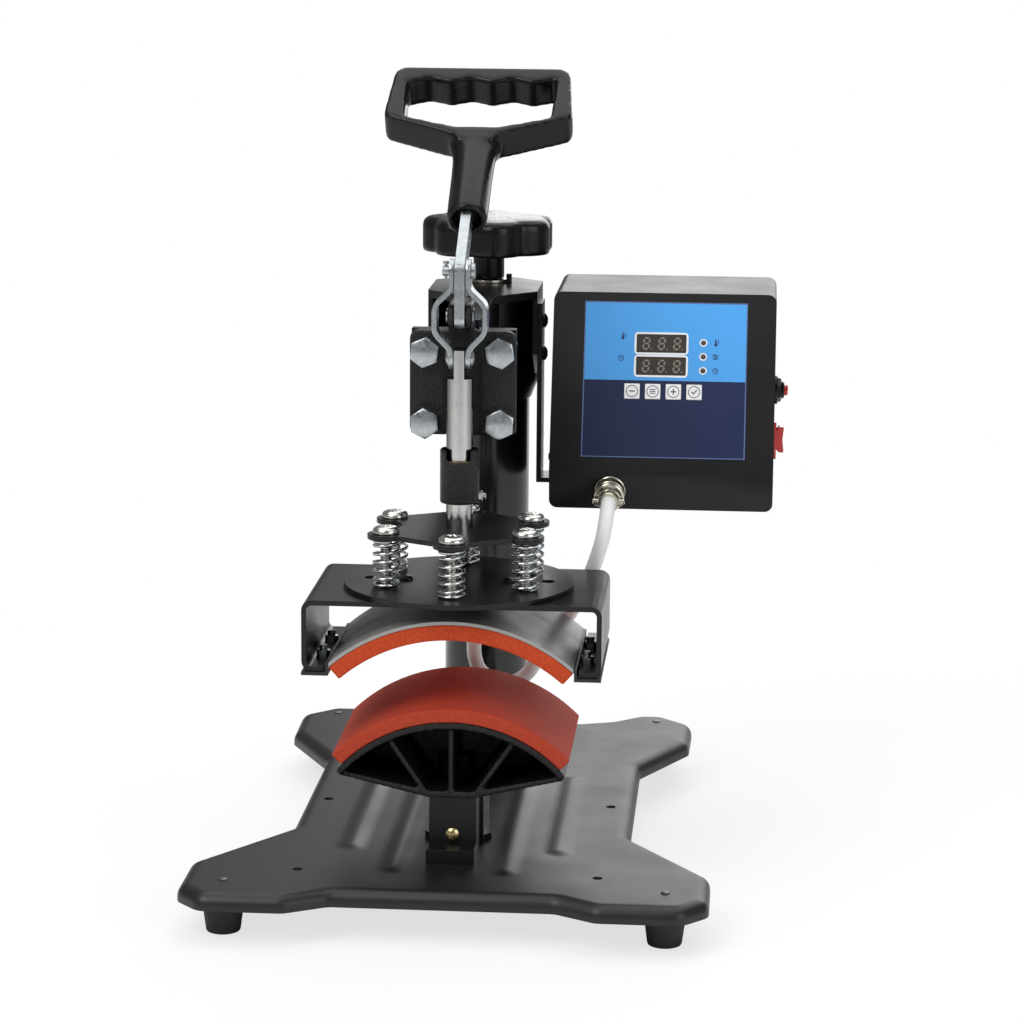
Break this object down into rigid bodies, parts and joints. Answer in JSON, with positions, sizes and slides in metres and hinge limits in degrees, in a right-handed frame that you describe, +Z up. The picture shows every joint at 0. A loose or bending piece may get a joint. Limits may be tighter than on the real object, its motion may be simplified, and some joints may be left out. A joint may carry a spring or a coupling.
{
  "type": "cap heat press",
  "caption": "Bench-top cap heat press: toggle handle, sprung curved heated platen over a curved lower platen, and a controller box on the head.",
  "frame": {"origin": "on the standing surface, on the press's middle plane, midway between the front and rear rows of feet", "axes": "+Z up, +X to the right seen from the front, +Y towards the column at the back"},
  "size_m": [0.3461, 0.426, 0.4831],
  "materials": {
    "black_paint": "satin black powder coat",
    "gloss_black_paint": "glossy black paint",
    "case_paint": "fine black powder coat",
    "black_cast": "black painted casting",
    "black_rubber": "matte black rubber",
    "zinc_steel": "bright zinc plating",
    "yellow_zinc": "pale yellow zinc plating",
    "bright_steel": "ground bright steel",
    "spring_steel": "bright spring wire",
    "nickel": "nickel plating",
    "bronze": "sintered bronze",
    "grey_aluminium": "dull grey rolled sheet",
    "laminated_steel": "dark lacquered steel",
    "brick_silicone": "matte brick-red silicone",
    "orange_silicone": "matte orange-red silicone",
    "white_cable": "white silicone sheath",
    "black_plastic": "moulded black plastic",
    "red_plastic": "red moulded plastic",
    "blue_plastic": "blue moulded plastic",
    "white_plastic": "white moulded plastic",
    "smoked_plastic": "smoked plastic window",
    "panel_film": "two-tone blue plastic film",
    "green_board": "green circuit board"
  },
  "bodies": {
    "base": {"base_plate": "black_paint", "feet": "black_rubber", "foot_screws": "zinc_steel", "column_tube": "gloss_black_paint", "lead_nut": "zinc_steel", "support_post": "black_cast", "post_screw": "yellow_zinc", "lower_platen": "black_cast", "platen_bolt": "zinc_steel", "lower_pad": "brick_silicone"},
    "head": {"head_bracket": "black_paint", "clamp_plate": "black_cast", "clamp_bolts": "zinc_steel", "guide_bush": "bronze", "pivot_pin": "zinc_steel", "oil_nipple": "zinc_steel", "stop_stud": "black_paint", "controller_strap": "black_paint", "strap_screws": "black_paint", "controller_case": "case_paint", "case_back": "case_paint", "panel_overlay": "panel_film", "display_temp": "smoked_plastic", "display_time": "smoked_plastic", "indicator_leds": "smoked_plastic", "circuit_board": "green_board", "transformer": "laminated_steel", "relay": "blue_plastic", "cable_socket": "nickel", "cable_plug": "nickel", "breaker_body": "black_plastic", "rocker_frame": "red_plastic", "mains_inlet": "black_plastic"},
    "minus_key": {"key_minus": "white_plastic"},
    "mode_key": {"key_mode": "white_plastic"},
    "plus_key": {"key_plus": "white_plastic"},
    "ok_key": {"key_ok": "white_plastic"},
    "reset_button": {"breaker_button": "red_plastic"},
    "power_switch": {"power_rocker": "red_plastic"},
    "knob": {"star_knob": "black_plastic", "lead_screw": "zinc_steel", "knob_washer": "nickel"},
    "lever": {"lever_bar": "zinc_steel", "handle_grip": "black_plastic", "link_pin": "zinc_steel", "split_pin": "zinc_steel"},
    "links": {"link_left": "zinc_steel", "link_right": "zinc_steel"},
    "plunger": {"plunger_rod": "bright_steel", "tongue_pin": "zinc_steel", "spider_plate": "black_paint"},
    "platen": {"pressure_disc": "black_paint", "u_bracket": "black_paint", "spring_screws": "yellow_zinc", "bracket_studs": "zinc_steel", "heater_shell": "grey_aluminium", "heater_element": "laminated_steel", "upper_pad": "orange_silicone", "heater_cable": "white_cable", "springs": "spring_steel"}
  },
  "joints": [
    {"name": "knob_turn", "type": "hinge", "parent": "head", "child": "knob", "pos_m": [0, 0.103, 0.37], "axis": [0, 0, 1], "range_deg": [0, 2468]},
    {"name": "head_lift", "type": "slide", "parent": "base", "child": "head", "axis": [0, 0, 1], "range_m": [0, 0.012]},
    {"name": "lever_swing", "type": "hinge", "parent": "head", "child": "lever", "pos_m": [0, -0.0963, 0.348], "axis": [1, 0, 0], "range_deg": [0, 180]},
    {"name": "link_swing", "type": "hinge", "parent": "lever", "child": "links", "pos_m": [0, -0.0963, 0.3744], "axis": [1, 0, 0], "range_deg": [-180, 0]},
    {"name": "plunger_slide", "type": "slide", "parent": "head", "child": "plunger", "axis": [0, 0, -1], "range_m": [0, 0.0528]},
    {"name": "platen_float", "type": "slide", "parent": "plunger", "child": "platen", "axis": [0, 0, 1], "range_m": [0, 0.0132], "deforming": ["springs"]},
    {"name": "minus_key_press", "type": "slide", "parent": "head", "child": "minus_key", "axis": [0, 0.9446, -0.3282], "range_m": [0, 0.0008], "stiffness_N_per_m": 300},
    {"name": "mode_key_press", "type": "slide", "parent": "head", "child": "mode_key", "axis": [0, 0.9446, -0.3282], "range_m": [0, 0.0008], "stiffness_N_per_m": 300},
    {"name": "plus_key_press", "type": "slide", "parent": "head", "child": "plus_key", "axis": [0, 0.9446, -0.3282], "range_m": [0, 0.0008], "stiffness_N_per_m": 300},
    {"name": "ok_key_press", "type": "slide", "parent": "head", "child": "ok_key", "axis": [0, 0.9446, -0.3282], "range_m": [0, 0.0008], "stiffness_N_per_m": 300},
    {"name": "reset_press", "type": "slide", "parent": "head", "child": "reset_button", "axis": [-1, 0, 0], "range_m": [0, 0.0015], "stiffness_N_per_m": 300},
    {"name": "power_rock", "type": "hinge", "parent": "head", "child": "power_switch", "pos_m": [0.1827, 0.05, 0.2535], "axis": [0, 1, 0], "range_deg": [-8, 8]}
  ],
  "couplings": [
    {"joint": "knob_turn", "follows": "head_lift", "rad_per_m": 3589.5},
    {"joint": "link_swing", "follows": "lever_swing", "ratio": -1},
    {"joint": "plunger_slide", "follows": "lever_swing", "m_per_rad": 0.016806},
    {"joint": "platen_float", "follows": "lever_swing", "m_per_rad": 0.0042012}
  ]
}
